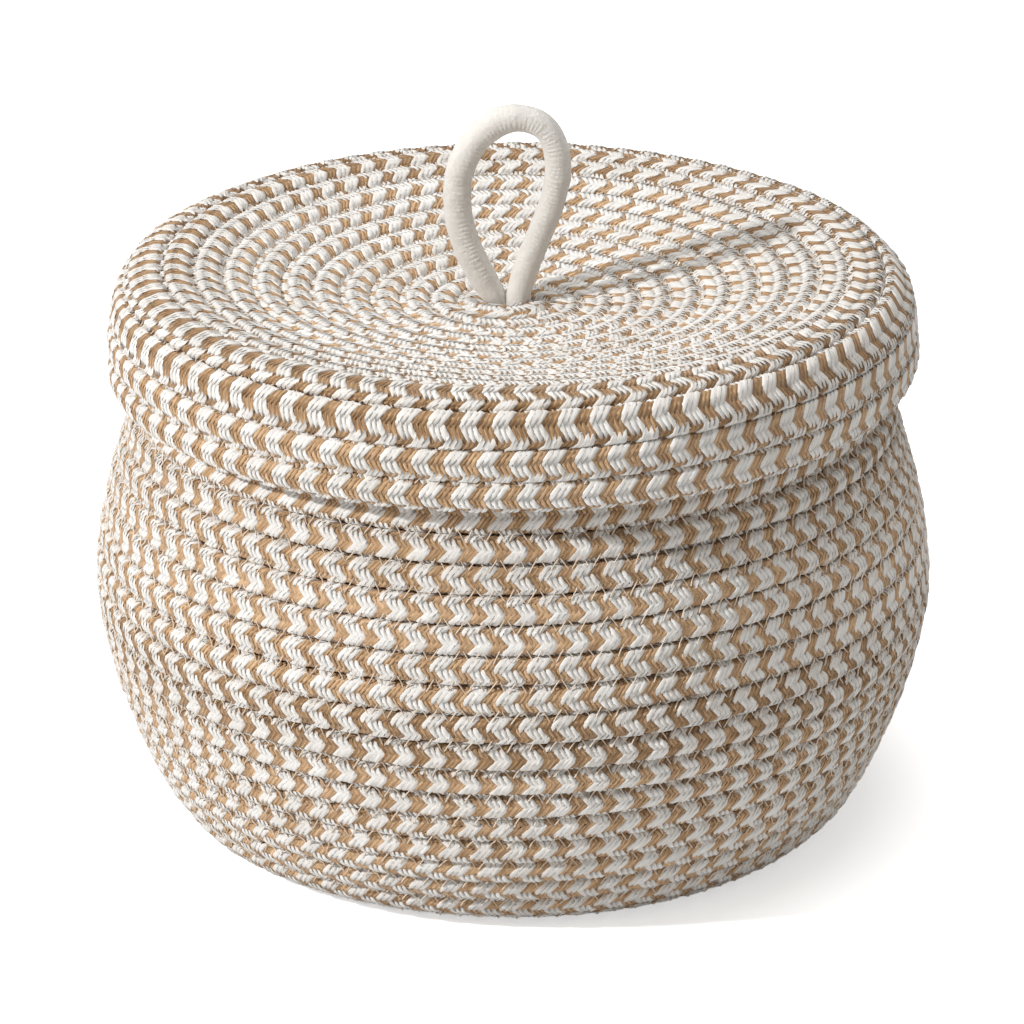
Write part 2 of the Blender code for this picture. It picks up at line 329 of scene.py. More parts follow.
def outline(stations):
    """A fine row of points through stations, joined by curves.

    A station is (radius, height, lean, reach share of the curve before it, reach share of the one after it).
    """
    share = np.linspace(0, 1, STEPS_PER_CURVE)[:, None]
    curves = []
    for here, there in zip(stations, stations[1:]):
        start = np.array(here[:2])
        end = np.array(there[:2])
        span = np.linalg.norm(end - start)
        leave = start + heading(here[2]) * span * here[4]
        arrive = end - heading(there[2]) * span * there[3]
        curve = (1 - share) ** 3 * start + 3 * (1 - share) ** 2 * share * leave
        curve += 3 * (1 - share) * share**2 * arrive + share**3 * end
        curves.append(curve[:-1])
    return np.vstack(curves + [end])


def basket_outline():
    """From the middle of the floor to the rim."""
    return outline([
        (0.0, ROPE_RISE, OUTWARDS_DEGREES, 0, FLAT_REACH_SHARE),
        (FLOOR_RADIUS, ROPE_RISE, OUTWARDS_DEGREES, FLAT_REACH_SHARE, FLOOR_REACH_SHARE),
        (BELLY_RADIUS, BELLY_HEIGHT, UPWARDS_DEGREES, BELLY_LOWER_REACH_SHARE, BELLY_UPPER_REACH_SHARE),
        (NECK_RADIUS, NECK_HEIGHT, NECK_LEAN_DEGREES, NECK_LOWER_REACH_SHARE, NECK_UPPER_REACH_SHARE),
        (RIM_RADIUS, RIM_HEIGHT, RIM_LEAN_DEGREES, RIM_REACH_SHARE, 0),
    ])


def lid_outline():
    """From the middle of the dished top over the shoulder and down to the hem."""
    return outline([
        (0.0, LID_MIDDLE_HEIGHT, OUTWARDS_DEGREES, 0, DISH_REACH_SHARE),
        (SHOULDER_RADIUS, SHOULDER_HEIGHT, OUTWARDS_DEGREES, DISH_EDGE_REACH_SHARE, SHOULDER_REACH_SHARE),
        (HEM_RADIUS, HEM_HEIGHT, DOWNWARDS_DEGREES, HEM_REACH_SHARE, 0),
    ])


def smooth(share):
    """Eases a share in and out, from 0 to 1."""
    share = np.clip(share, 0, 1)
    return share * share * (3 - 2 * share)


def drift(seed, walked, step, size):
    """Slow seeded drift along a length: random marks a step apart, joined smoothly."""
    marks = np.random.default_rng(seed).uniform(-size, size, int(walked.max() / step) + 3)
    index = np.floor(walked / step).astype(int)
    share = smooth(walked / step - index)
    return marks[index] * (1 - share) + marks[index + 1] * share


def through(points, share):
    """A smooth curve through points (Catmull-Rom), read at so many spans from the first point."""
    padded = np.vstack((2 * points[:1] - points[1:2], points, 2 * points[-1:] - points[-2:-1]))
    index = np.clip(share.astype(int), 0, len(points) - 2)
    part = (share - index)[:, None]
    before, here, there, after = (padded[index + offset] for offset in range(4))
    bend = 2 * before - 5 * here + 4 * there - after
    turn = -before + 3 * here - 3 * there + after
    return (2 * here + (there - before) * part + bend * part**2 + turn * part**3) / 2


class Section:
    """The rope's cross-section, read by the length walked round it, from its outer side to the next row."""

    def __init__(self, half_width):
        angle = np.linspace(0, math.tau, SECTION_POINTS)
        power = 2 / SECTION_SQUARENESS
        cos, sin = np.cos(angle), np.sin(angle)
        self.half_width = half_width
        self.out = HALF_THICKNESS * np.sign(cos) * np.abs(cos) ** power
        self.along = half_width * np.sign(sin) * np.abs(sin) ** power
        face_out = np.sign(cos) * np.abs(cos) ** (2 - power) / HALF_THICKNESS
        face_along = np.sign(sin) * np.abs(sin) ** (2 - power) / half_width
        length = np.hypot(face_out, face_along)
        self.face_out = face_out / length
        self.face_along = face_along / length
        steps = np.hypot(np.diff(self.out), np.diff(self.along))
        self.arcs = np.concatenate(([0], np.cumsum(steps)))
        self.round = self.arcs[-1]

    def at(self, arc, relief):
        """(outwards, towards the next row) at an arc length, raised by the relief."""
        arc = np.mod(arc, self.round)
        out = np.interp(arc, self.arcs, self.out) + relief * np.interp(arc, self.arcs, self.face_out)
        rise = SEAM_SWELL_SHARE * relief * np.interp(arc, self.arcs, self.face_along)
        return out, np.interp(arc, self.arcs, self.along) + rise

    def height(self, along):
        """How far the outer side stands out at a distance from the middle of the row."""
        share = np.clip(np.abs(along) / self.half_width, 0, 1)
        return HALF_THICKNESS * (1 - share**SECTION_SQUARENESS) ** (1 / SECTION_SQUARENESS)

    def least_height(self, lean):
        """The lowest that the middle of a leaning rope can be, with its braid resting on the ground."""
        power = SECTION_SQUARENESS / (SECTION_SQUARENESS - 1)
        across = np.abs(HALF_THICKNESS * np.sin(lean)) ** power
        upright = np.abs(self.half_width * np.cos(lean)) ** power
        return (across + upright) ** (1 / power) + YARN_CROWN + WHITE_RISE


class Coil:
    """A line wound along an outline, one row a turn, from its middle outwards.

    turning is 1 for counterclockwise seen from above and -1 for clockwise.
    """

    def __init__(self, points, start, pitch, turning, end_degrees, section):
        self.given = (points, start, pitch, turning, end_degrees, section)
        self.turning = turning
        self.section = section
        spans = np.diff(points, axis=0)
        lengths = np.concatenate(([0], np.cumsum(np.hypot(*spans.T))))
        leans = np.unwrap(np.arctan2(spans[:, 0], spans[:, 1]))
        middles = (lengths[1:] + lengths[:-1]) / 2
        self.turns = (lengths[-1] - start) / pitch
        self.turn = np.linspace(0, self.turns, math.ceil(self.turns) * STEPS_PER_TURN)
        place = start + self.turn * pitch
        self.radius = np.interp(place, lengths, points[:, 0])
        self.lean = np.interp(place, middles, leans)
        self.bend = -turning * np.interp(place, middles, np.gradient(leans, middles))
        self.height = np.maximum(np.interp(place, lengths, points[:, 1]), section.least_height(self.lean))
        self.azimuth = math.radians(end_degrees) - turning * math.tau * (self.turns - self.turn)
        steps = np.hypot(math.tau * self.radius, pitch)
        grown = (steps[1:] + steps[:-1]) / 2 * np.diff(self.turn)
        self.walked = np.concatenate(([0], np.cumsum(grown)))
        self.length = self.walked[-1]

    def seam(self):
        """The line that runs midway between the rows."""
        points, start, pitch, turning, end_degrees, section = self.given
        return Coil(points, start + pitch / 2, pitch, turning, end_degrees - turning * 180, section)

    def walked_at(self, turn):
        return np.interp(turn, self.turn, self.walked)

    def bend_at(self, walked):
        """How sharply the outline bends: more than 0 where its outer side is the outside of the bend."""
        return np.interp(walked, self.walked, self.bend)

    def fanned(self, walked, out, along):
        """Widens a row on the outside of a bend and narrows it inside, so that it meets the next row."""
        return along * (1 + self.bend_at(walked) * out)

    def frame(self, walked):
        """Middle of the rope, and the directions along it, outwards from it and towards its next row."""
        azimuth = np.interp(walked, self.walked, self.azimuth)
        radius = np.interp(walked, self.walked, self.radius)
        lean = np.interp(walked, self.walked, self.lean)
        height = np.interp(walked, self.walked, self.height)
        cos, sin = np.cos(azimuth), np.sin(azimuth)
        middle = np.stack((radius * cos, radius * sin, height), axis=-1)
        onward = np.stack((-self.turning * sin, self.turning * cos, np.zeros_like(sin)), axis=-1)
        next_row = np.stack((np.sin(lean) * cos, np.sin(lean) * sin, np.cos(lean)), axis=-1)
        return middle, onward, np.cross(onward, next_row), next_row

    def points(self, walked, out, along):
        middle, _, outwards, next_row = self.frame(walked)
        return middle + out[..., None] * outwards + along[..., None] * next_row


def close_round_legs(points):
    """Draws the lid's first rows in, front and back, and presses them out of the oval of the loop's legs."""
    distance = np.maximum(np.hypot(points[..., 0], points[..., 1]), LID_HOLE_RADIUS)
    pull = np.exp(-(distance - LID_HOLE_RADIUS) / LEGS_REACH)
    x = points[..., 0]
    y = points[..., 1] * (1 - LEGS_SQUEEZE_SHARE * pull)
    z = points[..., 2] + LEGS_LIFT * pull
    inside = np.maximum(np.hypot(x / LEGS_HALF_WIDTH, y / LEGS_HALF_DEPTH), LEGS_LEAST_SHARE)
    pressed = (inside**LEGS_FIRMNESS + 1) ** (1 / LEGS_FIRMNESS) / inside
    return np.stack((x * pressed - LEGS_SHIFT * pull, y * pressed, z), axis=-1)


def end_corners(number, sides, shifts):
    """Numbers of the points once round the end of a tube that starts or stops at ring number."""
    corners = []
    for place in range(sides):
        corners.append(number * sides + place)
        for step in range(shifts[place], 0, -1):
            corners.append((number + step) * sides + (place + 1) % sides)
    return np.array(corners)


def side_corners(columns, sides):
    """Which side each corner of a tube's faces lies on."""
    side = np.arange(sides)[None, :]
    corners = np.stack(np.broadcast_arrays(side, side, side + 1, side + 1), axis=-1)
    return np.broadcast_to(corners, (columns, sides, 4))


def strip_map(columns, sides, strips):
    """Where each corner of a tube's faces lies on the map for baking, as (u, v)."""
    per_strip = math.ceil(columns / strips)
    ring = np.arange(columns)[:, None] + np.zeros((1, sides), dtype=int)
    strip, column = np.divmod(ring, per_strip)
    corner_columns = np.stack((column, column + 1, column + 1, column), axis=-1)
    u = BAKE_END_MARGIN + (1 - 2 * BAKE_END_MARGIN) * corner_columns / per_strip
    across = BAKE_SIDE_MARGIN + (1 - 2 * BAKE_SIDE_MARGIN) * side_corners(columns, sides) / sides
    return u, (strip[..., None] + across) / strips


def add_map(mesh, name, u, v, end_count):
    """Adds a UV map. The corners of both ends, which come last, lie at zero."""
    values = np.concatenate((np.stack((u, v), axis=-1).reshape(-1, 2), np.zeros((end_count, 2))))
    layer = mesh.uv_layers.new(name=name)
    layer.uv.foreach_set("vector", values.astype(np.float32).ravel())


def tube(name, rings, body, finish, face_yarns=None, fibre=None, strips=1, shifts=0):
    """A closed tube through rings of points, with a UV map for baking that lays it out in strips.

    shifts says, for each side, how many rings further on the points of its next side lie. fibre gives a
    second UV map, as the place of each point across the yarns and the length of each side along them.
    """
    sides = rings.shape[1]
    shifts = np.broadcast_to(shifts, sides)
    columns = len(rings) - shifts.max() - 1
    ring = np.arange(columns)[:, None]
    side = np.arange(sides)[None, :]
    after = (side + 1) % sides
    onward = ring + shifts
    corners = np.stack((
        ring * sides + side,
        (ring + 1) * sides + side,
        (onward + 1) * sides + after,
        onward * sides + after,
    ), axis=-1).reshape(-1, 4)
    first_end = end_corners(0, sides, shifts)
    last_end = end_corners(columns, sides, shifts)[::-1]
    end_count = len(first_end) + len(last_end)
    used, loops = np.unique(np.concatenate((corners.ravel(), first_end, last_end)), return_inverse=True)
    starts = np.concatenate((np.arange(len(corners)) * 4, (corners.size, corners.size + len(first_end))))

    mesh = bpy.data.meshes.new(name)
    mesh.vertices.add(len(used))
    mesh.vertices.foreach_set("co", rings.reshape(-1, 3)[used].astype(np.float32).ravel())
    mesh.loops.add(len(loops))
    mesh.loops.foreach_set("vertex_index", loops.astype(np.int32))
    mesh.polygons.add(len(starts))
    mesh.polygons.foreach_set("loop_start", starts.astype(np.int32))
    mesh.polygons.foreach_set("use_smooth", np.ones(len(starts), dtype=bool))
    add_map(mesh, "OFBake", *strip_map(columns, sides, strips), end_count)
    if fibre is not None:
        across, length = fibre
        u = np.stack((across[:-1], across[1:], across[1:], across[:-1]), axis=-1)
        add_map(mesh, "fibre", u, side_corners(columns, sides) * length, end_count)
    if face_yarns is not None:
        values = np.concatenate((face_yarns.reshape(-1, 3), np.zeros((2, 3))))
        attribute = mesh.attributes.new("yarn", "FLOAT_VECTOR", "FACE")
        attribute.data.foreach_set("vector", values.astype(np.float32).ravel())
    mesh.update(calc_edges=True)
    mesh.materials.append(finish)
    made = bpy.data.objects.new(name, mesh)
    bpy.context.scene.collection.objects.link(made)
    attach(made, body)
    return made


def yarn_edges(pattern):
    """How far the edges of yarns lie from even places, as shares of their spacing: white yarns are wider."""
    widths = np.where(pattern, TAN_WIDTH_SHARE, 1.0)
    edges = np.cumsum(widths * len(pattern) / widths.sum()) - np.arange(1, len(pattern) + 1)
    return np.roll(edges - edges.mean(), 1)


class Braid:
    """The zone, the yarn and the part of that yarn that each point of a braided rope lies on.

    Four columns make a yarn: the bottom of the groove before it, its two edges and its crown. Up to the
    length in changed, the yarns have the colours of the lid's top, and after it those of the sides.
    """

    def __init__(self, columns, changed):
        step = np.arange(RING_STEPS)[None, :]
        self.column = np.arange(columns + 1 + PAIR_COLUMNS)[:, None]
        self.zone = step // STEPS_PER_ZONE
        self.pair = self.zone // 2
        self.is_long = self.zone % 2 == 0
        self.at_end = step % STEPS_PER_ZONE == 0
        self.rise = step % STEPS_PER_ZONE / STEPS_PER_ZONE
        # Counted from the bottom of a groove, which lies half a yarn further on in the short zones.
        self.counted = self.column + np.where(self.is_long, -1, 1)
        self.phase = self.counted % COLUMNS_PER_YARN
        self.yarn = self.counted // COLUMNS_PER_YARN
        self.groove = (self.counted + 1) // COLUMNS_PER_YARN
        self.place = self.column % COLUMNS_PER_YARN
        self.first_side_yarn = changed / YARN_SPACING

    def slant(self):
        """How far each point lies ahead along the rope, because its column slants up and down."""
        upward = self.rise * LONG_SLANT
        downward = LONG_SLANT - self.rise * SHORT_SLANT
        return np.where(self.is_long, upward, downward) - LONG_SLANT / 2

    def ring_place(self):
        """Where each point lies round the rope, counted in pairs of zones."""
        short = LONG_SHARE + self.rise * (1 - LONG_SHARE)
        return self.pair + np.where(self.is_long, self.rise * LONG_SHARE, short)

    def looked_up(self, yarn, top_values, side_values):
        """Values for yarns with these numbers: the lid's top has a pattern and the sides have another."""
        place = (yarn + np.array(PAIR_TAN_SHIFTS)[self.pair]) % len(TAN_YARNS[0])
        kind = np.where(self.is_long, 0, 1)
        on_top = np.array(top_values)[kind, place]
        on_side = np.array(side_values)[kind, place]
        return np.where(yarn < self.first_side_yarn, on_top, on_side)

    def is_tan(self, yarn):
        return self.looked_up(yarn, TOP_TAN_YARNS, TAN_YARNS)

    def edge(self, yarn):
        top_edges = [yarn_edges(pattern) for pattern in TOP_TAN_YARNS]
        side_edges = [yarn_edges(pattern) for pattern in TAN_YARNS]
        return self.looked_up(yarn, top_edges, side_edges)

    def edge_shares(self, groove_drift):
        """How far points are moved along the rope to the edges of their yarns, as shares of a spacing."""
        edge_shift = COLUMN_STEP / YARN_SPACING - GROOVE_WIDTH_SHARE / 2
        shares = np.array((0, -edge_shift, 0, edge_shift))[self.phase]
        crown = (self.edge(self.yarn) + self.edge(self.yarn + 1)) / 2
        beside = self.edge(self.groove) + groove_drift
        shares = shares + np.where(self.phase == CROWN_PHASE, crown, beside)
        return np.where(self.at_end, 0, shares)

    def relief(self, heights):
        """How far points stand out from the rope: on crowns, at edges, in grooves and where zones meet."""
        white = 1 - self.is_tan(self.yarn)
        both_white = 1 - np.maximum(self.is_tan(self.yarn), self.is_tan(self.yarn - 1))
        bottom = np.where(both_white, WHITE_RISE - WHITE_GROOVE_DEPTH, -GROOVE_DEPTH)
        beside = WHITE_RISE * white - YARN_EDGE_DEPTH
        crown = YARN_CROWN + heights + WHITE_RISE * white
        relief = np.where(self.phase == GROOVE_PHASE, bottom, beside)
        relief = np.where(self.phase == CROWN_PHASE, crown, relief)
        depth = np.where(self.place % 2 == 0, YARN_CORNER_DEPTH, YARN_END_DEPTH)
        return np.where(self.at_end, WHITE_RISE * white / 2 - depth, relief)

    def fingers(self, section, end_drift):
        """How far points are moved round the rope, so that the yarns of two zones reach into each other."""
        half_crossing = section.round / ZONE_PAIRS / (LONG_CROSSINGS + SHORT_CROSSINGS) / 2
        after_long = self.is_long == (self.rise > 0.5)
        long_steps = np.array(LONG_END_STEPS)[self.place]
        short_steps = np.array(SHORT_END_STEPS)[self.place]
        steps = np.where(after_long, long_steps, short_steps)
        reach = steps * half_crossing * FINGER_REACH_SHARE + end_drift
        return reach * np.where(self.at_end, 1, FINGER_FOLLOW_SHARE)


def braided_rope(coil, turned, seed, changed):
    """Rings of points of a braided rope, one slanted column each, and the yarn that lies on each face."""
    section = coil.section
    columns = math.floor(coil.length / COLUMN_STEP)
    braid = Braid(columns, changed)
    yarns = columns // COLUMNS_PER_YARN + SPARE_YARNS
    random = np.random.default_rng(seed)
    heights = random.uniform(-YARN_HEIGHT_DRIFT, YARN_HEIGHT_DRIFT, (yarns, ZONES))[braid.yarn, braid.zone]
    groove_drift = random.uniform(-GROOVE_DRIFT_SHARE, GROOVE_DRIFT_SHARE, (yarns, ZONES))
    groove_drift = groove_drift[braid.groove, braid.zone]
    end_drift = random.uniform(-YARN_END_DRIFT, YARN_END_DRIFT, (len(braid.column), ZONES))
    end_drift = end_drift[braid.column, braid.zone]
    tones = random.uniform(0, 1, (yarns, ZONES, 2))[braid.yarn, braid.zone]

    straight = braid.column * COLUMN_STEP
    walked = straight + braid.edge_shares(groove_drift) * YARN_SPACING + braid.slant()
    walked = np.clip(walked, 0, coil.length)
    straight = np.minimum(straight, coil.length)
    begun = smooth(straight / TAPER_LENGTH)
    left = smooth((coil.length - straight) / TAPER_LENGTH)
    size = TAPERED_SHARE + (1 - TAPERED_SHARE) * begun * left
    arc = braid.ring_place() / ZONE_PAIRS * section.round + turned(straight)
    out, along = section.at(arc + braid.fingers(section, end_drift), braid.relief(heights))
    sag = drift(seed + 1, straight, ROPE_DRIFT_STEP, ROPE_DRIFT)
    sway = drift(seed + 2, straight, ROPE_DRIFT_STEP, ROPE_DRIFT / 2)
    out = out * size + sag - TUCK_DEPTH * (1 - begun * left)
    along = coil.fanned(walked, out, along * size) + sway + section.half_width * (1 - size) * (left - begun)
    points = coil.points(walked, out, along)
    points[..., 2] = np.maximum(points[..., 2], 0)
    face_yarns = np.concatenate((braid.is_tan(braid.yarn)[..., None], tones), axis=-1)
    return points, face_yarns, braid.counted / COLUMNS_PER_YARN


def rope_pieces(name, coil, turned, seed, parts, body, finish, changed=0.0, shaped=None):
    """Builds a rope as pieces. parts gives (label, first length, last length, CAD node) of its stretches."""
    rings, yarns, across = braided_rope(coil, turned, seed, changed)
    if shaped:
        rings = shaped(rings)
    side = np.arange(RING_STEPS)
    shifts = np.where(side % (2 * STEPS_PER_ZONE) == 2 * STEPS_PER_ZONE - 1, PAIR_COLUMNS, 0)
    whole = len(rings) - 1 - PAIR_COLUMNS
    for label, first, last, node in parts:
        first_column = round(first / COLUMN_STEP / COLUMNS_PER_YARN) * COLUMNS_PER_YARN
        last_column = min(round(last / COLUMN_STEP / COLUMNS_PER_YARN) * COLUMNS_PER_YARN, whole)
        number = math.ceil((last_column - first_column) / PIECE_COLUMNS)
        cuts = np.linspace(first_column, last_column, number + 1).round().astype(int)
        for index, (here, there) in enumerate(zip(cuts, cuts[1:])):
            made = tube(
                f"{name}_{label}_{index + 1}",
                rings[here : there + 1 + PAIR_COLUMNS],
                body,
                finish,
                yarns[here:there],
                (across[here : there + 1] - across[here, 0], 1 / STEPS_PER_ZONE),
                ROPE_STRIPS,
                shifts,
            )
            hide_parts(node)


def zigzag(name, seam, length, side, seed, body, finish, reach, lowered, shaped):
    """The sewing thread over a seam: a zigzag on the outer side (1) or on the inner side (-1)."""
    random = np.random.default_rng(seed)
    legs = int((length - 2 * TAPER_LENGTH) / STITCH_STEP)
    number = np.arange(legs + 1)
    turn_walked = TAPER_LENGTH + number * STITCH_STEP + random.uniform(-1, 1, legs + 1) * STITCH_UNEVEN
    reaches = reach + random.uniform(-1, 1, legs + 1) * STITCH_UNEVEN
    turn_along = np.where(number % 2 == 0, reaches, -reaches)
    shares = np.array(STITCH_POINT_SHARES)
    heights = np.array((-STITCH_SUNK, STITCH_LIFT, STITCH_LIFT - STITCH_SAG, STITCH_LIFT))
    heights = heights + random.uniform(-STITCH_LIFT_DRIFT, STITCH_LIFT_DRIFT, (legs, 1))
    heights = heights - lowered - np.where(number[:-1, None] % 2 == 0, STITCH_BACK_SUNK, 0)
    walked = turn_walked[:-1, None] + np.diff(turn_walked)[:, None] * shares
    along = turn_along[:-1, None] + np.diff(turn_along)[:, None] * shares

    # The thread lies on the rows and spans the groove between them. Where the outline bends, they fall away.
    section = seam.section
    spanned = section.height(section.half_width - STITCH_SPAN_SHARE * reach)
    surface = np.maximum(section.height(section.half_width - np.abs(along)), spanned)
    bend = np.maximum(side * seam.bend_at(walked), 0)
    surface = surface - ROW_FALL * bend * (along**2 + (ROW_FALL_START_SHARE * reach) ** 2)
    walked, along, out = walked.ravel(), along.ravel(), (surface + heights).ravel() * side
    path = seam.points(walked, out, along)

    # Near the ground, it is drawn back into the rope.
    _, _, outwards, _ = seam.frame(walked)
    sunk = np.maximum(STITCH_GROUND_CLEARANCE - path[:, 2], 0) / np.minimum(outwards[:, 2], -STEEPEST_DRAWN)
    path = path + outwards * sunk[:, None]
    if shaped:
        path = shaped(path)
    tangent = np.gradient(path, axis=0)
    sideways = np.cross(outwards, tangent)
    sideways /= np.linalg.norm(sideways, axis=1)[:, None]
    angle = np.arange(THREAD_SIDES) * math.tau / THREAD_SIDES
    around = outwards[:, None] * np.cos(angle)[:, None] + sideways[:, None] * np.sin(angle)[:, None]
    rings = path[:, None] + around * side * THREAD_DIAMETER / 2
    tube(name, rings[:, ::-1], body, finish, strips=THREAD_STRIPS)


def sew(coil, body, finish, seeds, reach, lowered=0.0, shaped=None):
    """Sews the rows of a coil together by a zigzag on its outer side and one on its inner side."""
    seam = coil.seam()
    length = seam.walked_at(coil.turns - 1)
    for place, side, seed in zip(("outside", "inside"), (1, -1), seeds):
        zigzag(f"{body}_thread_{place}", seam, length, side, seed, body, finish, reach, lowered, shaped)


def cord_loop(finish):
    """The cord loop, with its ribs and lumps."""
    route = LOOP_ROUTE + np.array((0, 0, LID_FACE_HEIGHT))
    fine = np.linspace(0, len(route) - 1, LOOP_ROUTE_POINTS)
    path = through(route, fine)
    walked = np.concatenate(([0], np.cumsum(np.linalg.norm(np.diff(path, axis=0), axis=1))))
    even = np.linspace(0, walked[-1], round(walked[-1] / LOOP_STEP))
    share = np.interp(even, walked, fine)
    path = through(route, share)
    radius = through(np.array(LOOP_THICKNESS_SHARES)[:, None], share) * CORD_DIAMETER / 2
    tangent = np.gradient(path, axis=0)
    tangent /= np.linalg.norm(tangent, axis=1)[:, None]
    front = np.array((0.0, -1.0, 0.0))
    outer = np.cross(front, tangent)
    outer /= np.linalg.norm(outer, axis=1)[:, None]
    front = np.cross(tangent, outer)

    angle = np.arange(LOOP_SIDES) * math.tau / LOOP_SIDES
    faced = np.abs((angle + math.pi) % math.tau - math.pi)
    off_band = (faced - math.radians(RIB_BAND_DEGREES)) / math.radians(RIB_BAND_REACH_DEGREES)
    strength = RIB_LOWEST_SHARE + (1 - RIB_LOWEST_SHARE) * np.exp(-(off_band**2))
    uneven = even + drift(LOOP_SEED, even, RIB_DRIFT_STEP, RIB_DRIFT)
    wave = np.cos(math.tau * uneven[:, None] / RIB_SPACING + RIB_SLANT * faced)
    above = path[:, 2:] - LID_FACE_HEIGHT
    ribs = RIB_HEIGHT * wave * strength * smooth((above - RIBS_FROM) / RIBS_GROW)
    lumps = drift(LOOP_SEED + 1, even, LUMP_STEP, LUMP_SIZE)[:, None]
    lumps = lumps + drift(LOOP_SEED + 2, even, LUMP_STEP, LUMP_SIZE)[:, None] * np.cos(angle)
    size = radius + ribs + lumps
    around = outer[:, None] * np.cos(angle)[:, None] + front[:, None] * np.sin(angle)[:, None]
    rings = path[:, None] + around * size[..., None]
    fibre = (np.broadcast_to(even[:, None] / RIB_SPACING, size.shape), 1.0 / LOOP_SIDES)
    made = tube("lid_loop_cord", rings, "lid", finish, fibre=fibre, strips=LOOP_STRIPS)
    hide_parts("lid_loop")


class Nodes:
    """Short calls that add and join shader nodes."""

    def __init__(self, tree):
        self.tree = tree

    def give(self, socket, value):
        """Joins another socket to a socket, or sets a plain value on it."""
        if isinstance(value, bpy.types.NodeSocket):
            self.tree.links.new(value, socket)
        else:
            socket.default_value = value

    def add(self, kind, inputs=(), **settings):
        node = self.tree.nodes.new(kind)
        for name, value in settings.items():
            setattr(node, name, value)
        for name, value in dict(inputs).items():
            self.give(node.inputs[name], value)
        return node

    def math(self, operation, first, second=0.0):
        return self.add("ShaderNodeMath", {0: first, 1: second}, operation=operation).outputs[0]

    def ranged(self, value, source, target):
        """Maps a value from one range to another, each given as (low, high)."""
        ranges = {"From Min": source[0], "From Max": source[1], "To Min": target[0], "To Max": target[1]}
        return self.add("ShaderNodeMapRange", {"Value": value, **ranges}).outputs[0]

    def mixed(self, share, first, second, blend="MIX"):
        node = self.add("ShaderNodeMix", data_type="RGBA", blend_type=blend)
        for name, value in (("Factor_Float", share), ("A_Color", first), ("B_Color", second)):
            self.give(next(s for s in node.inputs if s.identifier == name), value)
        return next(s for s in node.outputs if s.identifier == "Result_Color")

    def combined(self, *values):
        return self.add("ShaderNodeCombineXYZ", zip("XYZ", values)).outputs[0]

    def stretched(self, values, stretches):
        """A place made of values, each times a stretch."""
        return self.combined(*(self.math("MULTIPLY", *pair) for pair in zip(values, stretches)))

    def summed(self, values, shares):
        """The sum of values, each times a share."""
        total, *others = (self.math("MULTIPLY", *pair) for pair in zip(values, shares))
        for other in others:
            total = self.math("ADD", total, other)
        return total

    def parted(self, vector):
        return self.add("ShaderNodeSeparateXYZ", {"Vector": vector}).outputs

    def noise(self, vector, scale, detail=2.0):
        inputs = {"Vector": vector, "Scale": scale, "Detail": detail}
        return self.add("ShaderNodeTexNoise", inputs).outputs[0]

    def fibre_place(self):
        """The place across the yarns and along them."""
        return self.parted(self.add("ShaderNodeUVMap", uv_map="fibre").outputs[0])[:2]

    def object_place(self):
        return self.add("ShaderNodeTexCoord").outputs["Object"]

    def from_middle(self, value):
        """How far a value is from halfway between two whole numbers."""
        return self.math("ABSOLUTE", self.math("SUBTRACT", self.math("FRACT", value), 0.5))

    def bump(self, height, strength, distance):
        inputs = {"Strength": strength, "Distance": distance, "Height": height}
        return self.add("ShaderNodeBump", inputs).outputs[0]


def new_material(name, roughness, sheen):
    """A matte cloth material, with its nodes and its shader."""
    made = bpy.data.materials.new(name)
    made.use_nodes = True
    shader = made.node_tree.nodes["Principled BSDF"]
    settings = {
        "Roughness": roughness, "Specular IOR Level": 0.25, "Sheen Weight": sheen, "Sheen Roughness": 0.5,
    }
    for socket, value in settings.items():
        shader.inputs[socket].default_value = value
    return made, Nodes(made.node_tree), shader


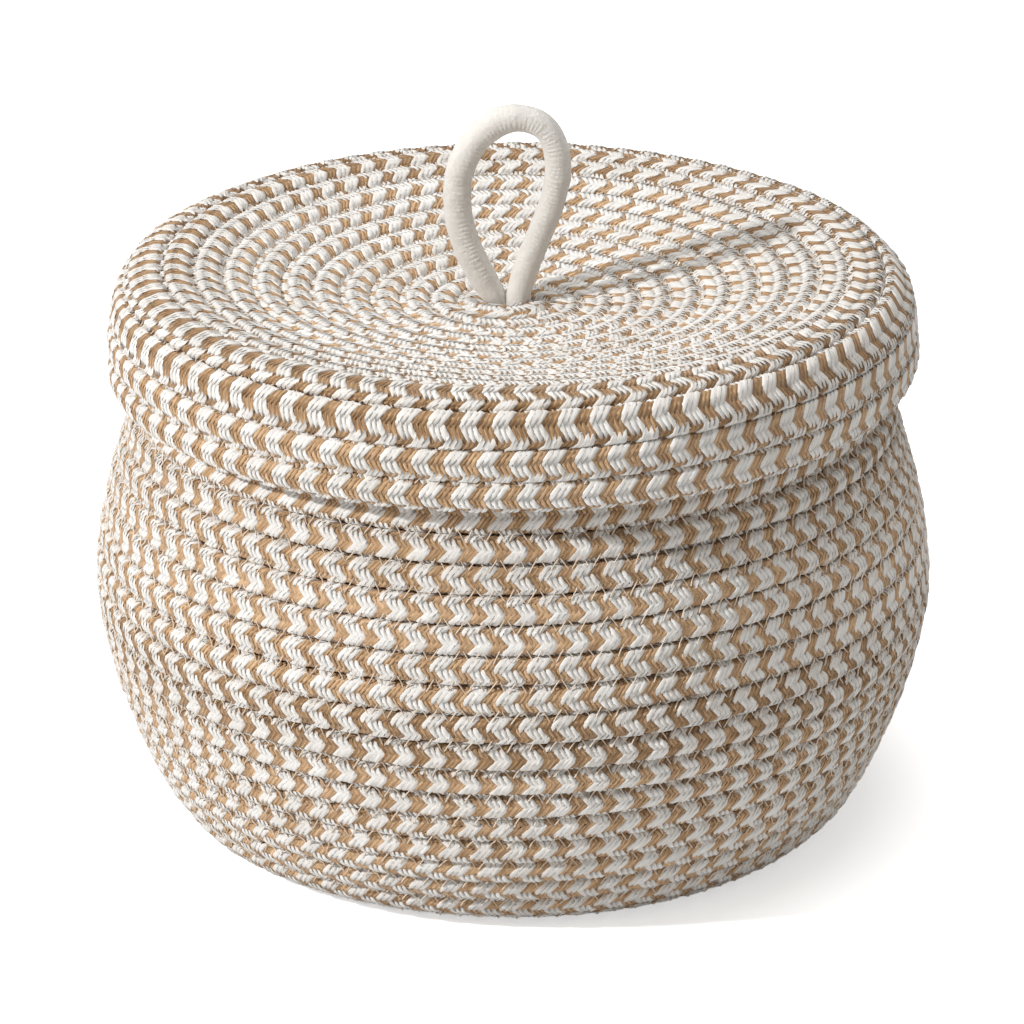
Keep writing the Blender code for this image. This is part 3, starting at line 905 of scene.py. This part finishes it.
def rope_material():
    """Off-white and tan yarn, streaked along its fibres, with painted shade in the gaps between yarns."""
    made, nodes, shader = new_material("braided_rope", roughness=0.92, sheen=0.15)
    yarn = nodes.add("ShaderNodeAttribute", attribute_name="yarn", attribute_type="GEOMETRY")
    is_tan, tone, seed = nodes.parted(yarn.outputs["Vector"])
    across, length = nodes.fibre_place()
    streaks = nodes.stretched((across, length, seed), STREAK_STRETCHES)
    streaks = nodes.noise(streaks, STREAK_SCALE, detail=3.0)
    place = nodes.object_place()
    patches = nodes.noise(place, ROPE_PATCH_SCALE)
    fuzz = nodes.noise(place, ROPE_FUZZ_SCALE)

    tan = nodes.mixed(tone, *TAN_YARN_COLOURS)
    white = nodes.mixed(tone, *WHITE_YARN_COLOURS)
    darkest = nodes.ranged(is_tan, WHOLE_RANGE, DARK_STREAK_SHARES)
    lightest = nodes.ranged(is_tan, WHOLE_RANGE, LIGHT_STREAK_SHARES)
    streak_shade = nodes.ranged(streaks, STREAK_RANGE, (darkest, lightest))
    shade = nodes.math("MULTIPLY", streak_shade, nodes.ranged(patches, NOISE_RANGE, PATCH_SHARES))

    # Painted shade darkens the gaps beside a yarn and at its end. Darker colour is painted warmer, as
    # painted bounce light between yarns.
    beside = nodes.ranged(nodes.from_middle(across), BESIDE_GAP_SHADE_RANGE, WHOLE_RANGE)
    at_end = nodes.ranged(nodes.from_middle(length), END_GAP_SHADE_RANGE, WHOLE_RANGE)
    lost_to_painted_shade = nodes.math("SUBTRACT", 1.0, nodes.ranged(is_tan, WHOLE_RANGE, PAINTED_GAP_SHADE_SHARES))
    painted_gap_shade = nodes.math("MULTIPLY", nodes.math("MAXIMUM", beside, at_end), lost_to_painted_shade)
    shade = nodes.math("MULTIPLY", shade, nodes.math("SUBTRACT", 1.0, painted_gap_shade))
    # Painted bounce light: green and blue fade faster than red, so that the darks turn warm.
    green = nodes.math("POWER", shade, GREEN_FADE_POWER)
    blue = nodes.math("POWER", shade, BLUE_FADE_POWER)
    tone_with_painted_warmth = nodes.combined(shade, green, blue)
    colour = nodes.mixed(1.0, nodes.mixed(is_tan, white, tan), tone_with_painted_warmth, "MULTIPLY")
    nodes.give(shader.inputs["Base Color"], colour)
    height = nodes.summed((streaks, fuzz), ROPE_BUMP_SHARES)
    nodes.give(shader.inputs["Normal"], nodes.bump(height, 0.6, ROPE_BUMP_HEIGHT))
    return made


def thread_material():
    """Pale beige sewing thread."""
    made, nodes, shader = new_material("sewing_thread", roughness=0.8, sheen=0.1)
    colour = nodes.mixed(nodes.noise(nodes.object_place(), THREAD_NOISE_SCALE), *THREAD_COLOURS)
    nodes.give(shader.inputs["Base Color"], colour)
    return made


def cord_material():
    """Soft off-white cloth with a fine weave, and painted shade in the weave's hollows."""
    made, nodes, shader = new_material("loop_cord", roughness=0.9, sheen=0.3)
    weave = nodes.noise(nodes.stretched(nodes.fibre_place(), WEAVE_STRETCHES), WEAVE_SCALE)
    place = nodes.object_place()
    patches = nodes.noise(place, CORD_PATCH_SCALE, detail=3.0)
    fuzz = nodes.noise(place, CORD_FUZZ_SCALE, detail=3.0)
    tufts = nodes.noise(place, CORD_TUFT_SCALE)
    colour = nodes.mixed(nodes.ranged(patches, NOISE_RANGE, WHOLE_RANGE), *CORD_COLOURS)
    # Painted shade: the cloth darkens towards a grey where the weave's bumps lie lowest.
    colour = nodes.mixed(nodes.ranged(weave, WEAVE_RANGE, WEAVE_SHADE_RANGE), colour, CORD_WEAVE_SHADE_COLOUR)
    nodes.give(shader.inputs["Base Color"], colour)
    height = nodes.summed((weave, fuzz, tufts), CORD_BUMP_SHARES)
    nodes.give(shader.inputs["Normal"], nodes.bump(height, 0.9, CORD_BUMP_HEIGHT))
    return made


def direction(azimuth, elevation):
    """Unit vector towards an azimuth and elevation in degrees."""
    azimuth, elevation = math.radians(azimuth), math.radians(elevation)
    flat = math.cos(elevation)
    return Vector((flat * math.cos(azimuth), flat * math.sin(azimuth), math.sin(elevation)))


def aimed(name, data, aim_height, towards, distance):
    """Places a camera or lamp at a distance from a point over the middle, and aims it there."""
    made = bpy.data.objects.new(name, data)
    bpy.context.scene.collection.objects.link(made)
    made.location = Vector((0, 0, aim_height)) + distance * towards
    made.rotation_euler = (-towards).to_track_quat("-Z", "Y").to_euler()
    return made


def camera():
    """The camera that took the photograph, as fitted to it."""
    data = bpy.data.cameras.new("photo_camera")
    data.lens = LENS
    data.sensor_width = SENSOR_WIDTH
    data.shift_x = SHIFT_X
    towards = direction(FRONT_DEGREES, VIEW_ELEVATION_DEGREES)
    bpy.context.scene.camera = aimed("photo_camera", data, VIEW_AIM_HEIGHT, towards, VIEW_DISTANCE)


def lamp(name, azimuth, elevation, distance, size, watts):
    """A round lamp."""
    data = bpy.data.lights.new(name, "AREA")
    data.shape = "DISK"
    data.size = size
    data.energy = watts
    aimed(name, data, LAMP_AIM_HEIGHT, direction(azimuth, elevation), distance)


def white_world():
    """A world that lights softly and is seen as white."""
    world = bpy.data.worlds.new("studio")
    bpy.context.scene.world = world
    world.use_nodes = True
    tree = world.node_tree
    tree.nodes.clear()
    nodes = Nodes(tree)
    seen = nodes.add("ShaderNodeLightPath").outputs["Is Camera Ray"]
    strength = nodes.ranged(seen, WHOLE_RANGE, (WORLD_STRENGTH, 1.0))
    colour = nodes.mixed(seen, WORLD_COLOUR, PURE_WHITE)
    glow = nodes.add("ShaderNodeBackground", {"Color": colour, "Strength": strength})
    output = nodes.add("ShaderNodeOutputWorld")
    nodes.give(output.inputs["Surface"], glow.outputs[0])


def pale_floor():
    """A matte floor that is seen as nearly white and takes the object's shadow."""
    mesh = bpy.data.meshes.new("floor")
    corners = [(FLOOR_REACH * x, FLOOR_REACH * y, 0) for x, y in ((-1, -1), (1, -1), (1, 1), (-1, 1))]
    mesh.from_pydata(corners, [], [(0, 1, 2, 3)])
    floor = bpy.data.objects.new("floor", mesh)
    bpy.context.scene.collection.objects.link(floor)
    made = bpy.data.materials.new("pale_floor")
    made.use_nodes = True
    nodes = Nodes(made.node_tree)
    shader = made.node_tree.nodes["Principled BSDF"]
    shader.inputs["Base Color"].default_value = FLOOR_COLOUR
    shader.inputs["Roughness"].default_value = 1.0
    shader.inputs["Specular IOR Level"].default_value = 0.0
    shader.inputs["Emission Color"].default_value = PURE_WHITE
    seen = nodes.add("ShaderNodeLightPath").outputs["Is Camera Ray"]
    nodes.give(shader.inputs["Emission Strength"], nodes.math("MULTIPLY", seen, FLOOR_GLOW))
    mesh.materials.append(made)


def dress_basket(rope_finish, thread_finish):
    """The basket's rope and its thread. The braid's turn is known at the front, and drifts in between."""
    section = Section((BASKET_ROW_PITCH - TAN_GAP) / 2)
    coil = Coil(basket_outline(), FLOOR_START_RADIUS, BASKET_ROW_PITCH, 1, BASKET_ROPE_END_DEGREES, section)
    shares = np.array(FRONT_ROW_ZONE_SHARES)
    short_zone_middle = (1 + LONG_SHARE) / 2 * section.round / ZONE_PAIRS
    turns = (0.5 - shares) * VISIBLE_ROW_HEIGHT - short_zone_middle
    top_turn = coil.turns - (BASKET_ROPE_END_DEGREES - FRONT_DEGREES) / 360 - ROWS_UNDER_LID
    front_walked = coil.walked_at(top_turn - np.arange(len(shares))[::-1])

    def turned(walked):
        known = np.interp(walked, front_walked, turns)
        return known + drift(BASKET_TURN_SEED, walked, BRAID_DRIFT_STEP, BRAID_DRIFT / 2)

    widening = np.argmax(coil.radius)
    parting = np.interp(FLOOR_RADIUS, coil.radius[:widening], coil.walked[:widening])
    parts = (
        ("floor", 0.0, parting, "basket_floor_coil"),
        ("wall", parting, coil.length, "basket_wall_coil"),
    )
    rope_pieces("basket_rope", coil, turned, BASKET_ROPE_SEED, parts, "basket", rope_finish)
    sew(coil, "basket", thread_finish, BASKET_THREAD_SEEDS, STITCH_REACH)


def dress_lid(rope_finish, thread_finish):
    """The lid's rope, wound the other way round than the basket's, and its thread."""
    section = Section((LID_ROW_PITCH + LID_ROW_PRESS) / 2)
    start = LID_START_RADIUS - LID_EARLY_TURNS * LID_ROW_PITCH
    coil = Coil(lid_outline(), start, LID_ROW_PITCH, -1, LID_ROPE_END_DEGREES, section)
    top_length = np.interp(SHOULDER_RADIUS - LID_ROW_PITCH / 2, coil.radius, coil.walked)

    def turned(walked):
        long_zone = LONG_SHARE * section.round / ZONE_PAIRS
        return drift(LID_TURN_SEED, walked, BRAID_DRIFT_STEP, BRAID_DRIFT) - long_zone

    parts = (("coil", 0.0, coil.length, "lid_coil"),)
    rope_pieces(
        "lid_rope", coil, turned, LID_ROPE_SEED, parts, "lid", rope_finish, top_length, close_round_legs
    )
    sew(coil, "lid", thread_finish, LID_THREAD_SEEDS, LID_STITCH_REACH, LID_STITCH_LOWERED, close_round_legs)


def main():
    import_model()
    rope_finish = rope_material()
    thread_finish = thread_material()
    dress_basket(rope_finish, thread_finish)
    dress_lid(rope_finish, thread_finish)
    cord_loop(cord_material())
    camera()
    white_world()
    pale_floor()
    for values in LAMPS:
        lamp(*values)
    bpy.context.scene.view_settings.view_transform = "Standard"


main()
